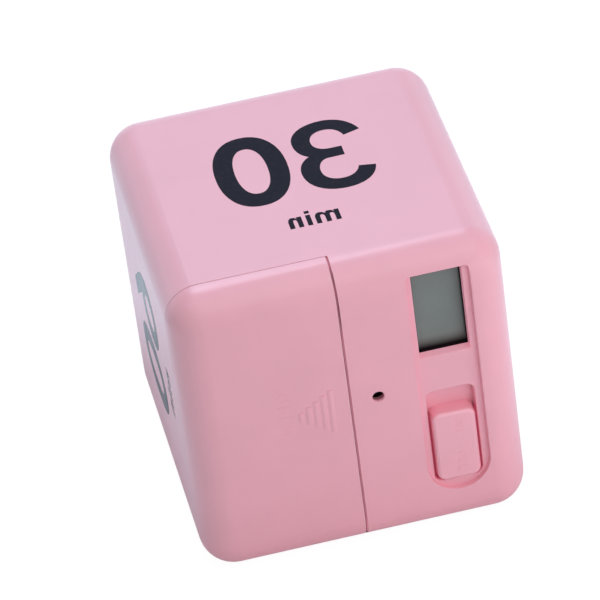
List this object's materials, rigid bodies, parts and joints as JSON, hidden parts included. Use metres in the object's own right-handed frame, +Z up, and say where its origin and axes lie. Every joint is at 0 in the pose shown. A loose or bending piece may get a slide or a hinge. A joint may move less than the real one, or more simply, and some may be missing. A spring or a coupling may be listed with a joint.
{
  "type": "flip timer",
  "caption": "Rounded cube timer that runs the time printed on its upper side, with a display window, an on/off slide key, a sound hole and a sliding battery door.",
  "frame": {"origin": "middle of the base, on the surface that the timer stands on", "axes": "+Z up, +Y from the display side to the plain back, +X to the right as seen from the display side"},
  "size_m": [0.066, 0.0713, 0.066],
  "materials": {
    "pink_shell": "satin moulded plastic",
    "pink_key": "satin moulded plastic",
    "pink_tray": "satin moulded plastic",
    "display_glass": "polished glass over a grey-green reflector",
    "white_plastic": "satin moulded plastic",
    "black_foam": "closed-cell foam",
    "striped_rubber": "matte silicone with black layers",
    "green_board": "solder mask",
    "black_epoxy": "cast resin",
    "black_plastic": "moulded",
    "plated_steel": "nickel plate",
    "screw_steel": "zinc plate",
    "ball_steel": "polished",
    "cell_wrap": "plain film over the can",
    "red_lead": "insulated wire",
    "black_lead": "insulated wire"
  },
  "bodies": {
    "case": {"main_housing": "pink_shell", "back_cover": "pink_shell", "battery_tray": "pink_tray", "cell_left": "cell_wrap", "cell_right": "cell_wrap", "contact_negative": "plated_steel", "contact_positive": "plated_steel", "contact_bridge": "plated_steel", "spring_lower": "plated_steel", "spring_upper": "plated_steel", "display_gasket": "black_foam", "display_glass": "display_glass", "display_frame": "white_plastic", "zebra_strip": "striped_rubber", "circuit_board": "green_board", "board_screw_1": "screw_steel", "board_screw_2": "screw_steel", "board_screw_3": "screw_steel", "tray_screw_upper": "screw_steel", "tray_screw_lower": "screw_steel", "switch_body": "plated_steel", "buzzer_case": "black_plastic", "buzzer_seal": "black_foam", "tilt_can_left": "plated_steel", "tilt_base_left": "black_plastic", "tilt_can_right": "plated_steel", "tilt_base_right": "black_plastic", "chip_blob": "black_epoxy", "crystal": "plated_steel", "lead_negative": "black_lead", "lead_positive": "red_lead"},
    "door": {"battery_door": "pink_shell"},
    "key": {"slide_key": "pink_key", "switch_lever": "black_plastic"},
    "left_ball": {"tilt_ball_left": "ball_steel"},
    "right_ball": {"tilt_ball_right": "ball_steel"}
  },
  "joints": [
    {"name": "door_slide", "type": "slide", "parent": "case", "child": "door", "axis": [-1, 0, 0], "range_m": [0, 0.036]},
    {"name": "key_slide", "type": "slide", "parent": "case", "child": "key", "axis": [0, 0, 1], "range_m": [0, 0.0045]},
    {"name": "left_ball_roll", "type": "slide", "parent": "case", "child": "left_ball", "axis": [-0.7071, 0, 0.7071], "range_m": [0, 0.0025]},
    {"name": "right_ball_roll", "type": "slide", "parent": "case", "child": "right_ball", "axis": [0.7071, 0, 0.7071], "range_m": [0, 0.0025]}
  ]
}
